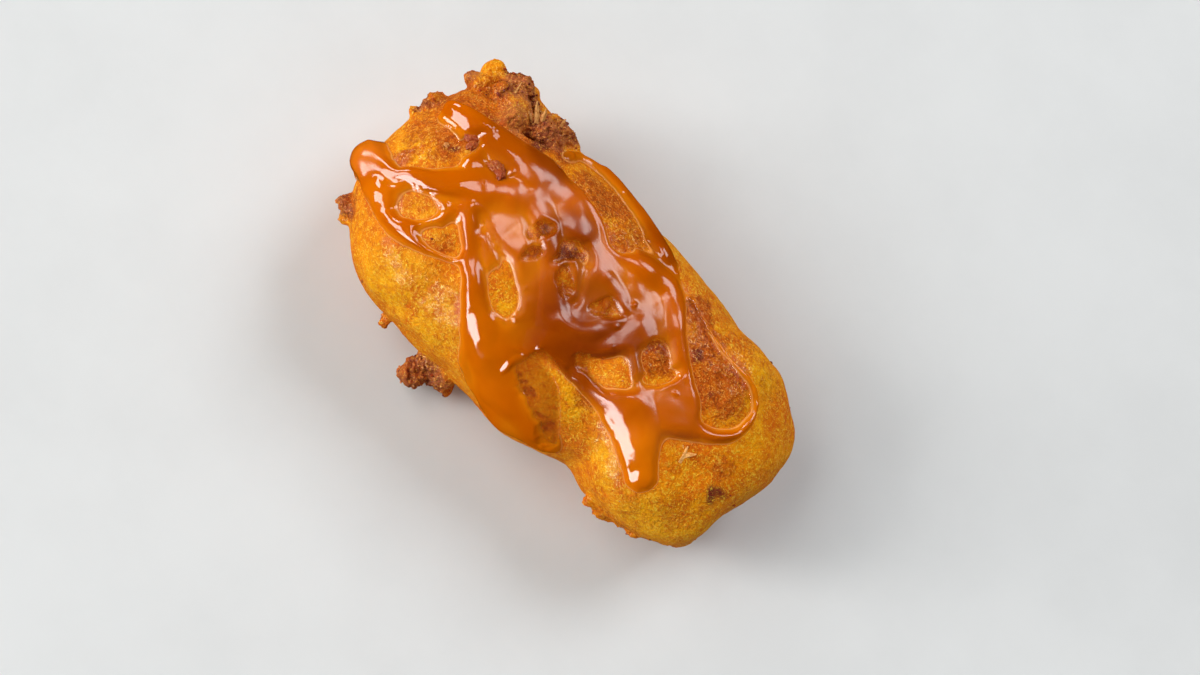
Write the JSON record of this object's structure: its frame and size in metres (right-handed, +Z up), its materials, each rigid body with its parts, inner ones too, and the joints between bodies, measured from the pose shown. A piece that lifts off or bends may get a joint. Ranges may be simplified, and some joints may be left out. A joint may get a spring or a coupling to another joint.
{
  "type": "deep-fried candy bar",
  "caption": "Chocolate bar fried in golden batter, with a burst corner and caramel sauce poured over the top.",
  "frame": {"origin": "on the resting surface, under the middle of the bar's length and width", "axes": "+X along the bar from its burst end to its smooth end, +Y towards the side with the burst corner, +Z up"},
  "size_m": [0.1153, 0.0644, 0.0399],
  "materials": {
    "batter": "crisp fried batter, golden with browned patches and a slight oily sheen",
    "chocolate": "soft warm milk chocolate and nougat",
    "caramel": "wet, glossy, translucent caramel"
  },
  "bodies": {
    "root": {"batter_crust": "batter", "candy_bar": "chocolate", "caramel_sauce": "caramel"}
  },
  "joints": []
}
